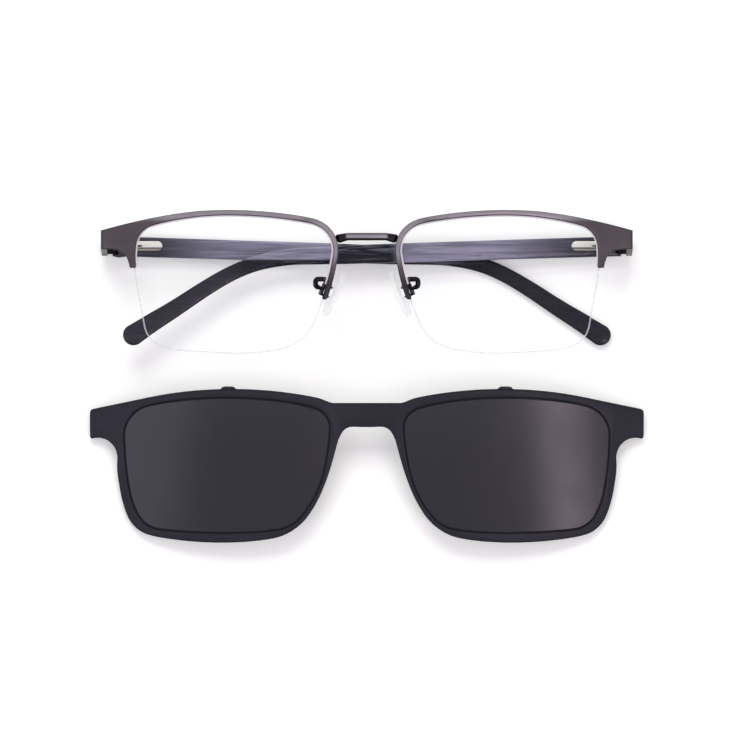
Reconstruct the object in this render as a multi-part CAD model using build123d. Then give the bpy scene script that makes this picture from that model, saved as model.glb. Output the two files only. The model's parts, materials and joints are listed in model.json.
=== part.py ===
from build123d import *
import math
import os

# Magnetic clip-on glasses. The optical frame lies face up on its folded temples and the sun clip
# lies below it. X runs to the viewer's right, Y up the face, Z towards the viewer. Everything is
# drawn first with the crown of the optical lenses at height zero, and stood on the table at the end.
# Left and right are the wearer's, so the left eye is at +X. Lengths are in millimetres.

# Sizes of the optical front
lens_width = 53.0
lens_gap = 18.0
lens_height = 37.4
lens_lift = 0.25
lens_radius = 132.5
lens_thickness = 1.6
wrap_offset = 25.0
end_out = 9.4
groove_bite = 0.6
lens_clear = 0.05
rim_wall = 0.85
rim_proud = 0.7
rim_back = 0.9
leg_end = 3.75
foot_end = 4.75
foot_wall = 1.05

# Sizes of the end pieces
end_height = 5.1
end_below = 4.1
end_plate = 2.2
end_plate_start = 1.5
return_wall = 1.6
return_top = 2.8
return_height = 5.45
corner_round = 1.0

# Sizes of the bridge bar
bar_height = 2.05
bar_depth = 2.2
bar_half = 5.1
bar_below = 5.87
bar_front = 0.7
foot_height = 2.8
foot_below = 6.85
bar_set_back = 1.2
bar_tuck = 1.0

# Sizes of the nylon thread and the magnets
thread_width = 0.4
thread_thick = 0.5
thread_proud = 0.02
thread_tuck = 1.5
magnet_radius = 1.5
magnet_length = 1.5
magnet_skin = 0.5
magnet_in = 3.6
magnet_drop = 2.2
magnet_clear = 0.2

# Sizes of the temples and their hinges
temple_reach = 135.6
ear_drop = 26.0
temple_height = 5.45
temple_thickness = 3.4
temple_outside = 2.8
root_gap = 0.15
hinge_depth = 18.5
hinge_below = 8.2
cross_angle = 4.1
knuckle_radius = 1.2
knuckle_length = 1.4
middle_knuckle = 1.5
knuckle_gap = 0.05
pin_radius = 0.6
running_gap = 0.05
screw_head_radius = 1.0
screw_head_height = 0.5
leaf_length = 4.0
leaf_inset = 0.2
clear_gap = 0.2

lens_top = lens_lift + lens_height / 2
front_half = lens_gap / 2 + lens_width + end_out
end_top = lens_top - end_below
bar_level = lens_top - bar_below
foot_level = lens_top - foot_below
hinge_level = lens_top - hinge_below
hinge_x = front_half - temple_outside
side_knuckle = middle_knuckle / 2 + knuckle_gap
knuckle_end = side_knuckle + knuckle_length

# Sizes of the spring hinge in each temple
box_start = 1.75
box_length = 12.0
box_height = 2.6
box_outside = 1.3
box_proud = 1.1
box_wall = 0.4
box_slot = 0.5
box_slot_length = 6.5
flex_travel = 1.0
neck_length = 3.3
neck_height = 1.3
neck_half = 0.65
rod_radius = 0.4
rod_end_thick = 0.6
rod_end_width = 1.4
stop_thick = 0.8
spring_wire = 0.3
spring_turns = 3
spring_clear = 0.1
wire_height = 1.5
wire_thick = 0.6
wire_share = 0.64

# Sizes of the nose pads
pad_length = 12.8
pad_width = 7.0
pad_thick = 2.2
pad_lean = 23.0
pad_splay = 20.0
pad_x = 8.7
pad_drop = 2.3
pad_depth = 8.3
pad_top_width = 5.2
pad_edge = 0.6
core_corner = 0.8
core_length = 7.5
core_width = 3.0
core_thick = 0.5
lug_width = 1.6
lug_length = 1.9
lug_depth = 2.3
fork_wall = 0.6
fork_gap = 0.05
fork_width = 1.9
fork_front = 1.45
fork_back = 3.4
fork_plate = 0.5
pad_pin_radius = 0.5
pad_head_radius = 0.8
pad_head_height = 0.5
arm_radius = 0.45
arm_bend = 0.8
arm_sides = 6
arm_run = 2.2

# Sizes of the sun clip
clip_over = 2.0
clip_under = 2.3
clip_side = 9.2
clip_thick = 2.2
seat_gap = 0.25
bridge_below = 1.95
bridge_height = 6.0
crease_in = 1.6
clip_end_height = 7.2
clip_end_below = 4.9
clip_lens_in = 0.8
clip_lens_wider = 2.6
clip_lens_over = 0.05
clip_lens_shorter = 0.1
clip_lens_bite = 0.6
clip_lens_thick = 0.9
clip_lip_back = 0.9
hook_in = 0.4
hook_width = 3.2
hook_thick = 0.65
hook_gap = 0.1
hook_reach = 2.6
clip_away = 8.25

clip_top = lens_top + clip_over
clip_height = lens_height + clip_over + clip_under
clip_lens_left = lens_gap / 2 + clip_lens_in
clip_lens_width = lens_width + clip_lens_wider
clip_lens_top = lens_top + clip_lens_over
clip_lens_height = lens_height - clip_lens_shorter
clip_half = clip_lens_left + clip_lens_width + clip_side
bridge_top = lens_top - bridge_below
crease_x = clip_lens_left - crease_in
clip_end_top = lens_top - clip_end_below
hook_x = clip_lens_left + clip_lens_width / 2 - hook_in
clip_below = lens_height + clip_over + clip_under / 4 + clip_away

# One overrun serves every cut
reach = 200.0
overrun = 1.0

eye = wrap_offset
lens_left = lens_gap / 2 - groove_bite
lens_box_width = lens_width + 2 * groove_bite
lens_bottom = lens_lift - lens_height / 2
lens_box_height = lens_height + groove_bite

# The lens edge, from the nose side up and over, as shares of its box
lens_shares = [
    (0.0, 0.735), (0.020, 0.842), (0.068, 0.909), (0.172, 0.953), (0.342, 0.988), (0.522, 1.0),
    (0.704, 0.984), (0.864, 0.941), (0.958, 0.884), (0.995, 0.785), (1.0, 0.657), (0.979, 0.438),
    (0.956, 0.265), (0.932, 0.138), (0.873, 0.060), (0.730, 0.020), (0.524, 0.0), (0.339, 0.017),
    (0.221, 0.056), (0.133, 0.145), (0.080, 0.309), (0.044, 0.444), (0.018, 0.585),
]
# The points of the lens edge where its arcs meet
lens_meets = (2, 3, 7, 8, 10, 12, 13, 15, 17, 18, 21)
# The clip's lens opening, as shares of its box
clip_lens_shares = [
    (0.0, 0.759), (0.008, 0.826), (0.040, 0.890), (0.115, 0.942), (0.239, 0.974), (0.363, 0.995),
    (0.478, 1.0), (0.610, 0.989), (0.775, 0.957), (0.883, 0.917), (0.960, 0.847), (0.993, 0.748),
    (1.0, 0.625), (0.993, 0.491), (0.982, 0.343), (0.961, 0.223), (0.935, 0.120), (0.893, 0.046),
    (0.815, 0.014), (0.669, 0.003), (0.527, 0.0), (0.363, 0.011), (0.239, 0.036), (0.166, 0.086),
    (0.112, 0.180), (0.071, 0.272), (0.034, 0.418), (0.011, 0.582),
]
clip_lens_meets = (0, 4, 8, 10, 13, 16, 19, 21, 23, 24)
# The brow's top edge past the middle of the lens, as shares of the way to the outer corner
brow_shares = [(0.0, 0.0), (0.288, 0.108), (0.545, 0.342), (0.772, 0.640), (1.0, 1.0)]
# The lower edge of the end piece, as shares of the way from the corner to the foot
foot_shares = [(0.0, 0.0), (0.53, 0.03), (0.787, 0.20), (0.923, 0.51), (1.0, 1.0)]
# The clip's top edge, as shares of the half width and of the height above the bridge's top
clip_top_shares = [
    (0.125, 0.013), (0.161, 0.278), (0.197, 0.468), (0.268, 0.709), (0.377, 0.962), (0.484, 1.0),
    (0.592, 0.886), (0.700, 0.608), (0.808, 0.152), (0.901, -0.304), (0.987, -0.747),
]
clip_top_meets = (0, 2, 3, 7, 11)
clip_slope = (1.0, -0.28)
end_round_share = 0.008
# The clip's lower edge from its end piece to the bridge, as shares of the half width and of the
# clip's height below its top
clip_low_shares = [
    (0.962, 0.348), (0.925, 0.373), (0.914, 0.399), (0.910, 0.426), (0.9075, 0.477), (0.898, 0.606),
    (0.885, 0.735), (0.866, 0.838), (0.831, 0.927), (0.799, 0.959), (0.747, 0.979), (0.629, 0.997),
    (0.509, 1.0), (0.413, 0.990), (0.340, 0.970), (0.268, 0.920), (0.233, 0.867), (0.197, 0.788),
    (0.161, 0.663), (0.125, 0.481), (0.107, 0.358), (0.089, 0.277), (0.071, 0.2505), (0.054, 0.2445),
]
clip_low_meets = (0, 2, 6, 7, 9, 11, 14, 16, 19, 21, 24, 25)
# The temple's middle line from the hinge to the tip, as shares of its reach and of the ear's drop,
# with its height as a share of the height at the hinge
temple_shares = [
    (0.001, 0.001, 1.0), (0.056, 0.010, 0.99), (0.248, 0.040, 0.98), (0.425, 0.074, 0.955),
    (0.553, 0.094, 0.91), (0.649, 0.121, 0.81), (0.714, 0.167, 0.76), (0.755, 0.240, 0.745),
    (0.802, 0.363, 0.77), (0.860, 0.563, 0.82), (0.915, 0.740, 0.90), (0.970, 0.921, 1.045),
]
# The temple's inner face, as shares of its reach and of its thickness at the hinge
thickness_shares = [
    (0.0, 1.0), (0.15, 0.955), (0.28, 0.855), (0.55, 0.68), (0.74, 0.65), (0.92, 0.70), (1.02, 0.64),
]


def in_box(shares, left, bottom, width, height):
    """Outline points of a box's shares."""
    return [(left + u * width, bottom + v * height) for u, v in shares]


def arc(start, end, along):
    """An arc that leaves start along a direction, or a line where the end lies straight ahead."""
    way = (end - start).normalized()
    straight = abs(way.cross(along).Z) < 1e-4
    return Line(start, end) if straight else TangentArc(start, end, tangent=along)


def arc_pair(start, leaving, end, arriving):
    """Two arcs that meet smoothly and join two points in given directions."""
    way = end - start
    both = leaving + arriving
    bend = 2 * (1 - leaving.dot(arriving))
    if bend < 1e-6:
        length = way.dot(way) / (2 * way.dot(both))
    else:
        length = (math.sqrt(way.dot(both) ** 2 + bend * way.dot(way)) - way.dot(both)) / bend
    middle = (start + end + (leaving - arriving) * length) / 2
    first = arc(start, middle, leaving)
    return [first, arc(middle, end, first.tangent_at(1))]


def smooth(points, meets=None, grow=0, closed=False):
    """Arcs that follow a spline through points, moved outwards by grow, and meet at some of the points."""
    guide = Spline(*points, periodic=closed)
    chosen = [points[i] for i in meets or range(len(points))]
    stops = []
    for x, y in chosen + chosen[:1] if closed else chosen:
        along = guide.tangent_at(Vector(x, y))
        stops.append((Vector(x - along.Y * grow, y + along.X * grow), along))
    arcs = []
    for (start, leaving), (end, arriving) in zip(stops, stops[1:]):
        arcs += arc_pair(start, leaving, end, arriving)
    return arcs


def every_other(points):
    """Every other point's number, with the last one."""
    return [*range(0, len(points) - 1, 2), len(points) - 1]


def lens_loop(grow=0):
    """The optical lens's edge as a flat face, moved outwards by grow."""
    return make_face(smooth(lens_points, lens_meets, grow, closed=True))


def clip_loop(grow=0):
    """The clip's lens opening as a flat face, moved outwards by grow."""
    return make_face(smooth(clip_points, clip_lens_meets, grow, closed=True))


def region(x0, x1, y0, y1):
    """A plain rectangle between two corners."""
    return Pos((x0 + x1) / 2, (y0 + y1) / 2) * Rectangle(x1 - x0, y1 - y0)


def block(x0, x1, y0, y1, z0, z1):
    """A plain box between two corners."""
    middle = Pos((x0 + x1) / 2, (y0 + y1) / 2, (z0 + z1) / 2)
    return middle * Box(x1 - x0, y1 - y0, z1 - z0)


def upright(radius, y0, y1, x=0, z=0):
    """A round bar along Y."""
    return Pos(x, (y0 + y1) / 2, z) * Rot(90, 0, 0) * Cylinder(radius, y1 - y0)


def bow(x, out=0):
    """Height of the lens's curve, out millimetres outside the lens's front, at a place across."""
    return math.sqrt((lens_radius + out) ** 2 - (x - eye) ** 2) - lens_radius


def drum(out):
    """The upright round bar that the lens's front lies on, grown by out."""
    return Pos(0, 0, -lens_radius) * upright(lens_radius + out, -reach, reach, x=eye)


def shell(flat, front, back):
    """The part of a flat outline between two drums about the lens's axis."""
    prism = Pos(0, 0, -lens_radius / 2) * extrude(flat, lens_radius)
    return (prism & drum(front)) - drum(back)


def solid(shape):
    """The shape as one solid."""
    found = shape.solids()
    return found[0] if len(found) == 1 else Compound(children=list(found))


def mirrored(shape):
    return mirror(shape, about=Plane.YZ)


lens_points = in_box(lens_shares, lens_left, lens_bottom, lens_box_width, lens_box_height)
apex = lens_points[5]
opening = lens_loop(-groove_bite)
lens_face = lens_loop()
groove_face = lens_loop(lens_clear)
lens_outer = lens_left + lens_box_width
above = lens_bottom + lens_box_height + reach
nose_zone = region(-reach, apex[0], -leg_end, above)
outer_zone = region(apex[0], reach, foot_end, above)
back_of_rim = -lens_thickness - rim_back
corner = (front_half, end_top)


def brow_front():
    """The brow rim seen from the front, with its nose leg, end piece and foot."""
    top_start = (apex[0], apex[1] + rim_wall)
    run = (corner[0] - top_start[0], corner[1] - top_start[1])
    top = [(top_start[0] + u * run[0], top_start[1] + v * run[1]) for u, v in brow_shares]
    low = (corner[0], corner[1] - end_height)
    foot = (lens_outer + foot_wall, foot_end)
    drop = (foot[0] - low[0], foot[1] - low[1])
    under = [(low[0] + u * drop[0], low[1] + v * drop[1]) for u, v in foot_shares]
    inside = (lens_outer - lens_width / 4, foot_end)
    edges = [
        *smooth(top),
        Line(corner, low),
        *smooth(under),
        Line(foot, inside),
        Line(inside, (apex[0], lens_lift)),
        Line((apex[0], lens_lift), top_start),
    ]
    rim = lens_loop(rim_wall) & nose_zone
    return rim + make_face(edges) - opening


def radial(x, y, out):
    """A plane square to the lens's curve over a point, out from the lens's front."""
    away = Vector(x - eye, 0, bow(x) + lens_radius).normalized()
    centre = Vector(eye, y, -lens_radius)
    return Plane(origin=centre + away * (lens_radius + out), z_dir=away)


magnet_place = (corner[0] - magnet_in, corner[1] - magnet_drop)


def disc(bottom, top):
    """A round bar through an end piece, between two distances from the lens's front."""
    return extrude(radial(*magnet_place, bottom) * Circle(magnet_radius), top - bottom)


magnet_front = rim_proud - magnet_skin
magnet_back = magnet_front - magnet_length


def end_return():
    """The wall that runs back from the end piece to the hinge."""
    front = bow(corner[0] - return_wall) - end_plate / 2
    top_back = hinge_level + return_top
    profile = [
        (corner[1], front),
        (top_back, -hinge_depth),
        (top_back - return_height, -hinge_depth),
        (corner[1] - end_height, front),
        (corner[1], front),
    ]
    wall = make_face(Polyline(*profile))
    return extrude(Plane.YZ.offset(corner[0] - return_wall) * wall, return_wall)


def brow():
    """Brow rim, end piece and its return, in one piece of metal."""
    plate = shell(brow_front(), rim_proud, back_of_rim)
    start = lens_outer + end_plate_start
    plate -= shell(region(start, reach, -reach, reach), rim_proud - end_plate, back_of_rim - overrun)
    plate += end_return()
    edge = plate.edges().sort_by_distance((corner[0], end_top - end_height / 2, bow(corner[0])))[0]
    plate = fillet(edge, corner_round)
    plate -= shell(groove_face, lens_clear, -lens_thickness - lens_clear)
    plate -= disc(back_of_rim, magnet_front)
    scoop = upright(knuckle_radius + clear_gap, -side_knuckle, side_knuckle)
    return plate - Pos(hinge_x, hinge_level, -hinge_depth) * scoop


thread_back = -(lens_thickness + thread_thick) / 2
thread_low = region(-reach, apex[0], -reach, thread_tuck - leg_end)
thread_low += region(apex[0], reach, -reach, foot_end + thread_tuck)
thread_band = lens_loop(thread_proud) - lens_loop(thread_proud - thread_width)
thread = shell(thread_band & thread_low, thread_back + thread_thick, thread_back)
lens = shell(lens_face, 0, -lens_thickness) - thread
front_magnet = disc(magnet_back, magnet_front)
brow_left = brow()


def bridge():
    """The bar between the brows, bent back and down to a foot at each end."""
    end_x = lens_left + bar_tuck
    face = [
        (0, bar_level + bar_height / 2),
        (bar_half, bar_level + bar_height / 2),
        (end_x, foot_level + foot_height / 2),
        (end_x, foot_level - foot_height / 2),
        (bar_half, bar_level - bar_height / 2),
        (0, bar_level - bar_height / 2),
    ]
    plan = [
        (0, -bar_front),
        (bar_half, -bar_front),
        (end_x, -bar_front - bar_set_back),
        (end_x, -bar_front - bar_set_back - bar_depth),
        (bar_half, -bar_front - bar_depth),
        (0, -bar_front - bar_depth),
    ]
    seen = make_face(Polyline(*face, close=True))
    above_it = make_face(Polyline(*plan, close=True))
    upright_part = Pos(0, 0, -lens_radius / 4) * extrude(seen, lens_radius / 2)
    flat_part = Pos(0, lens_radius / 4, 0) * extrude(Plane.XZ * above_it, lens_radius / 2)
    half = upright_part & flat_part
    inside_rim = lens_loop(rim_wall)
    half -= Pos(0, 0, -lens_radius / 4) * extrude(inside_rim, lens_radius / 2)
    return half + mirrored(half)


# Hinge and temple parts are drawn about the hinge axis, with X along the folded temple, and are
# placed at the wearer's right. The left ones are their mirror image, turned by the crossing angle.
outer_w = -temple_outside
wall_u = return_wall - temple_outside


def hinge_leaf():
    """Two outer knuckles on a plate against the end piece's return."""
    top = knuckle_end - screw_head_height
    leaf = block(wall_u, -leaf_inset, -knuckle_end, top, 0, leaf_length)
    leaf += upright(knuckle_radius, -knuckle_end, top)
    middle = knuckle_radius + clear_gap
    leaf -= block(-reach, reach, -side_knuckle, side_knuckle, -middle, middle)
    return leaf - upright(pin_radius, -reach, reach)


def hinge_screw():
    """The screw through the three knuckles."""
    screw = upright(pin_radius, -knuckle_end, knuckle_end)
    return screw + upright(screw_head_radius, knuckle_end - screw_head_height, knuckle_end)


def spine():
    """The temple's middle line with its height, from the hinge."""
    return [(u * temple_reach, -v * ear_drop, h * temple_height) for u, v, h in temple_shares]


def band(line, heights, meets):
    """A strip along a line, as wide at each point as its height, closed by a round end."""
    path = Spline(*line)
    upper, lower = [], []
    for (x, y), high in zip(line, heights):
        along = path.tangent_at(Vector(x, y))
        upper.append((x - along.Y * high / 2, y + along.X * high / 2))
        lower.append((x + along.Y * high / 2, y - along.X * high / 2))
    along = path.tangent_at(Vector(*line[-1]))
    cap = heights[-1] / 2
    tip = (line[-1][0] + along.X * cap, line[-1][1] + along.Y * cap)
    return make_face(
        [
            *smooth(upper, meets),
            ThreePointArc(upper[-1], tip, lower[-1]),
            *smooth(lower, meets),
            Line(lower[0], upper[0]),
        ]
    )


def spring_housing(shrink=0):
    """The spring box's outside as it sits in the temple, round at its far end."""
    end = box_start + box_length
    outline = region(box_start, end - box_height / 2, -box_height / 2, box_height / 2)
    outline += Pos(end - box_height / 2, 0) * Circle(box_height / 2)
    return Pos(0, 0, -box_outside) * extrude(outline, box_outside + box_proud - shrink)


cavity_half = box_height / 2 - box_wall
cavity_low = -box_outside + box_wall
cavity_high = box_proud - box_wall
cavity_end = box_start + box_length - box_wall - box_height / 4
rod_w = (cavity_low + cavity_high) / 2
rod_length = cavity_end - flex_travel - neck_length
rod_end_u = neck_length + rod_length
stop_u = neck_length + knuckle_gap


def temple():
    """The temple arm with its seat for the spring box, its notch for the knuckles and its wire."""
    line = spine()
    points = [(x, y) for x, y, high in line]
    side = band(points, [high for x, y, high in line], every_other(points))
    arm = Pos(0, 0, outer_w) * extrude(side, temple_thickness + overrun)
    inner = [(u * temple_reach, outer_w + w * temple_thickness) for u, w in thickness_shares]
    end = inner[-1]
    plan = make_face(
        [
            *smooth(inner, every_other(inner)),
            Line(end, (end[0], outer_w)),
            Line((end[0], outer_w), (0, outer_w)),
            Line((0, outer_w), inner[0]),
        ]
    )
    arm &= Pos(0, reach / 2, 0) * extrude(Plane.XZ * plan, reach)
    arm -= block(-reach, root_gap, -reach, reach, -reach, reach)
    notch = knuckle_end + clear_gap
    arm -= block(-reach, box_start, -notch, notch, clear_gap - box_outside - 2 * clear_gap, reach)
    arm -= spring_housing()
    return arm - core_wire()


def core_wire():
    """The stiffening wire inside the temple, from the spring box to the ear."""
    start = box_start + box_length
    line = [(x, y) for x, y, high in spine()[1:]]
    flat = band(line, [wire_height] * len(line), (0, 2, 4, 6, 8, len(line) - 1))
    flat &= region(start + wire_height, line[-1][0] - wire_height, -reach, reach)
    middle = outer_w + temple_thickness * wire_share / 2
    return Pos(0, 0, middle - wire_thick / 2) * extrude(flat, wire_thick)


def spring_box():
    """The metal box that guides the slider, open at the hinge and slit along its top."""
    box = spring_housing()
    hollow = block(0, cavity_end, -cavity_half, cavity_half, cavity_low, cavity_high)
    slit = block(0, box_start + box_slot_length, -box_slot / 2, box_slot / 2, rod_w, reach)
    return box - hollow - slit


def slider():
    """The middle knuckle on its neck, with the rod that the spring sits on."""
    neck = block(0, neck_length, -neck_half, neck_half, rod_w - neck_height / 2, rod_w + neck_height / 2)
    neck += upright(knuckle_radius, -middle_knuckle / 2, middle_knuckle / 2)
    neck += Pos(neck_length + rod_length / 2, 0, rod_w) * Rot(0, 90, 0) * Cylinder(rod_radius, rod_length)
    neck += Pos(rod_end_u + rod_end_thick / 2, 0, rod_w) * Box(rod_end_thick, rod_end_width, rod_end_width)
    return neck - upright(pin_radius + running_gap, -reach, reach)


def spring_stop():
    """The forked plate across the box that the spring pushes on."""
    plate = block(stop_u, stop_u + stop_thick, -cavity_half, cavity_half, cavity_low, cavity_high)
    throat = rod_radius + running_gap
    plate -= block(0, reach, -throat, throat, rod_w, reach)
    bore = Pos(0, 0, rod_w) * Rot(0, 90, 0) * Cylinder(throat, reach)
    return plate - bore


def hinge_spring():
    """The coil round the rod, between the stop and the rod's end."""
    start = stop_u + stop_thick + spring_clear
    length = rod_end_u - spring_clear - start
    radius = rod_radius + spring_clear + spring_wire / 2
    pitch = (length - spring_wire) / spring_turns
    path = Helix(pitch, length - spring_wire, radius)
    section = Plane(origin=path @ 0, z_dir=path % 0) * Rectangle(spring_wire, spring_wire)
    coil = sweep(section, path=path, is_frenet=True)
    print("spring gap between turns", round(pitch - spring_wire, 2))
    return Pos(start + spring_wire / 2, 0, rod_w) * Rot(0, 90, 0) * coil


# Nose pad parts are drawn about the pad's middle, with X across it, Y along it and Z to the nose.
core_back = -core_thick / 2
lug_tip = -lug_depth


def pad_core():
    """The stiff plate inside the pad, with the lug that the screw passes through."""
    plate = Rectangle(core_width, core_length)
    core = Pos(0, 0, core_back) * extrude(chamfer(plate.vertices(), core_corner), core_thick)
    core += block(-lug_width / 2, lug_width / 2, -lug_length / 2, lug_length / 2, lug_tip, 0)
    core += upright(lug_width / 2, -lug_length / 2, lug_length / 2, z=lug_tip)
    return core - upright(pad_pin_radius + running_gap, -reach, reach, z=lug_tip)


def nose_pad():
    """The soft pad, moulded round its core."""
    low = Pos(0, (pad_width - pad_length) / 2) * Circle(pad_width / 2)
    high = Pos(0, (pad_length - pad_top_width) / 2) * Circle(pad_top_width / 2)
    outline = make_hull(low.edges() + high.edges())
    body = Pos(0, 0, -pad_thick / 2) * extrude(outline, pad_thick)
    body = chamfer(body.faces().sort_by(Axis.Z)[-1].edges(), pad_edge)
    return body - pad_core()


fork_inside = lug_length / 2 + fork_gap
fork_outside = fork_inside + fork_wall


def pad_fork():
    """The box at the end of the pad arm that holds the lug between two cheeks."""
    half = fork_width / 2
    fork = block(-half, half, -fork_outside, fork_outside, -fork_back - fork_plate, -fork_front)
    fork -= block(-reach, reach, -fork_inside, fork_inside, -fork_back, 0)
    return fork - upright(pad_pin_radius, -reach, reach, z=lug_tip)


def pad_screw():
    """The small screw through the fork and the lug."""
    screw = upright(pad_pin_radius, -fork_outside, fork_outside, z=lug_tip)
    screw += upright(pad_head_radius, fork_outside, fork_outside + pad_head_height, z=lug_tip)
    return screw


lean = math.radians(pad_lean)
splay = math.radians(pad_splay)
pad_along = Vector(-math.sin(lean), math.cos(lean), 0)
pad_to_nose = Vector(-math.cos(lean), -math.sin(lean), 0) * math.cos(splay) - Vector(0, 0, math.sin(splay))
pad_middle = Vector(pad_x, -pad_drop, -pad_depth)
pad_plane = Plane(origin=pad_middle, x_dir=pad_along.cross(pad_to_nose), z_dir=pad_to_nose)


def pad_arm():
    """The bent wire from the rim's nose leg to the fork."""
    leg = lens_points[-2]
    plate = pad_middle - pad_to_nose * (fork_back + fork_plate / 2)
    behind = plate - pad_to_nose * arm_run
    start = Vector(leg[0], leg[1] + arm_run, bow(leg[0]) + back_of_rim + arm_radius)
    turn = start + Vector(arm_radius, arm_run / 2, -arm_run)
    across = Vector(behind.X, turn.Y, turn.Z - arm_run / 2)
    path = FilletPolyline(start, turn, across, behind, plate, radius=arm_bend)
    section = Plane(origin=path @ 0, z_dir=path % 0) * RegularPolygon(arm_radius, arm_sides)
    wire = sweep(section, path=path)
    return (wire - brow_left) - pad_plane * fork_fill() + pad_plane * pad_fork()


def fork_fill():
    """The space that the fork and what it holds take up."""
    half = fork_width / 2
    return block(-half, half, -fork_outside, fork_outside, -fork_back, fork_front)


# The clip is drawn where it sits when it is on the front, and laid on the table afterwards.
clip_back = rim_proud + seat_gap
clip_front = clip_back + clip_thick


def clip_outline():
    """Half of the clip seen from the front, from its middle to its end."""
    rise = clip_top - bridge_top
    top = [(crease_x, bridge_top)] + [(u * clip_half, bridge_top + v * rise) for u, v in clip_top_shares]
    low = [(u * clip_half, clip_top - v * clip_height) for u, v in clip_low_shares]
    end_low = (clip_half, clip_end_top - clip_end_height + magnet_skin)
    end_high = (clip_half, clip_end_top - end_height / 5)
    start = (0, bridge_top)
    inner = (0, bridge_top - bridge_height)
    low_start = (end_low[0] - end_round_share * clip_half, end_low[1] - 2 * end_round_share * clip_half)
    edges = [
        Line(start, top[0]),
        *smooth(top, clip_top_meets),
        *arc_pair(Vector(*top[-1]), Vector(*clip_slope).normalized(), Vector(*end_high), Vector(0, -1)),
        Line(end_high, end_low),
        *arc_pair(Vector(*end_low), Vector(0, -1), Vector(*low_start), Vector(-1, 0)),
        *smooth([low_start] + low + [inner], clip_low_meets),
        Line(inner, start),
    ]
    return make_face(edges)


def middle_shell(flat, front, back):
    """The clip's flat bridge, which meets the curved parts at the crease."""
    low = bow(crease_x, back)
    return Pos(0, 0, low) * extrude(flat, bow(crease_x, front) - low)


clip_lens_bottom = clip_lens_top - clip_lens_height
clip_points = in_box(clip_lens_shares, clip_lens_left, clip_lens_bottom, clip_lens_width, clip_lens_height)
clip_lens_face = clip_loop(clip_lens_bite)
lens_seat_back = clip_back + clip_lip_back
lens_seat_front = lens_seat_back + clip_lens_thick
clip_lens = shell(clip_lens_face, lens_seat_front, lens_seat_back)
clip_magnet = disc(clip_back, clip_back + magnet_length)


def clip_hook():
    """The small hook on the clip's top edge that rests on the brow."""
    low = apex[1] + rim_wall + hook_gap
    front = bow(hook_x, clip_front) - clip_thick / 3
    back = bow(hook_x, clip_back) - hook_reach
    return block(hook_x - hook_width / 2, hook_x + hook_width / 2, low, low + hook_thick, back, front)


def clip_frame():
    """The clip's one moulded frame."""
    half = clip_outline()
    eye_part = half & region(crease_x, reach, -reach, reach)
    eye_part -= clip_loop()
    half_frame = shell(eye_part, clip_front, clip_back)
    half_frame -= shell(clip_lens_face, lens_seat_front, clip_back - overrun)
    bridge_part = half & region(0, crease_x, -reach, reach)
    half_frame += middle_shell(bridge_part, clip_front, clip_back)
    half_frame += clip_hook()
    pocket = disc(clip_back - seat_gap, clip_back + magnet_length)
    whole = half_frame + mirrored(half_frame)
    return whole - pocket - mirrored(pocket)


clip_whole = clip_frame()

# Laid on the table, the clip rests on its end pieces and on the outer corners of its lower rims.
end_corner = (clip_half, clip_end_top - clip_end_height + magnet_skin)
low_edge = [(u * clip_half, clip_top - v * clip_height) for u, v in clip_low_shares]
end_bow = bow(clip_half, clip_back)
slopes = [(bow(x, clip_back) - end_bow) / (end_corner[1] - y) for x, y in low_edge if y < 0]
clip_tilt = math.degrees(math.atan(min(slopes)))
table = -hinge_depth - temple_outside
tilted = Rot(clip_tilt, 0, 0) * clip_whole
clip_place = Pos(0, -clip_below, table - tilted.bounding_box().min.Z) * Rot(clip_tilt, 0, 0)

right_hinge = Pos(-hinge_x, hinge_level, -hinge_depth)
left_hinge = Pos(hinge_x, hinge_level, -hinge_depth)
left_turn = left_hinge * Rot(0, cross_angle, 0)

front_parts = {
    "brow": brow_left,
    "lens": lens,
    "nylon_thread": thread,
    "pad_arm": pad_arm(),
    "pad_core": pad_plane * pad_core(),
    "nose_pad": pad_plane * nose_pad(),
}
turning_parts = {
    "temple": temple(),
    "core_wire": core_wire(),
    "spring_box": spring_box(),
    "spring_stop": spring_stop(),
    "spring_slider": slider(),
    "hinge_spring": hinge_spring(),
}

nodes = {"bridge_bar": bridge(), "clip_frame": clip_place * clip_whole}
for name, part in front_parts.items():
    nodes[name + "_left"] = part
    nodes[name + "_right"] = mirrored(part)
for name, part in turning_parts.items():
    nodes[name + "_right"] = right_hinge * part
    nodes[name + "_left"] = left_turn * mirrored(part)
nodes["hinge_leaf_right"] = right_hinge * hinge_leaf()
nodes["hinge_leaf_left"] = left_hinge * mirrored(hinge_leaf())
nodes["clip_lens_left"] = clip_place * clip_lens
nodes["clip_lens_right"] = clip_place * mirrored(clip_lens)


def pair(one, other):
    """Two like pieces in one node."""
    return Compound(children=[solid(one), solid(other)])


nodes["hinge_screws"] = pair(left_hinge * hinge_screw(), right_hinge * hinge_screw())
nodes["pad_screws"] = pair(pad_plane * pad_screw(), mirrored(pad_plane * pad_screw()))
nodes["front_magnets"] = pair(front_magnet, mirrored(front_magnet))
nodes["clip_magnets"] = pair(clip_place * clip_magnet, clip_place * mirrored(clip_magnet))

# The set stands on the table with the middle of its outline at the origin.
highest = max(part.bounding_box().max.Y for part in nodes.values())
lowest = min(part.bounding_box().min.Y for part in nodes.values())
home = Pos(0, -(highest + lowest) / 2, -table)


def place(name, point):
    """Prints where a joint or a seat lies in the finished set."""
    spot = home * Pos(point[0], point[1], point[2])
    print("place", name, " ".join(str(round(v, 4)) for v in spot.position))


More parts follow.
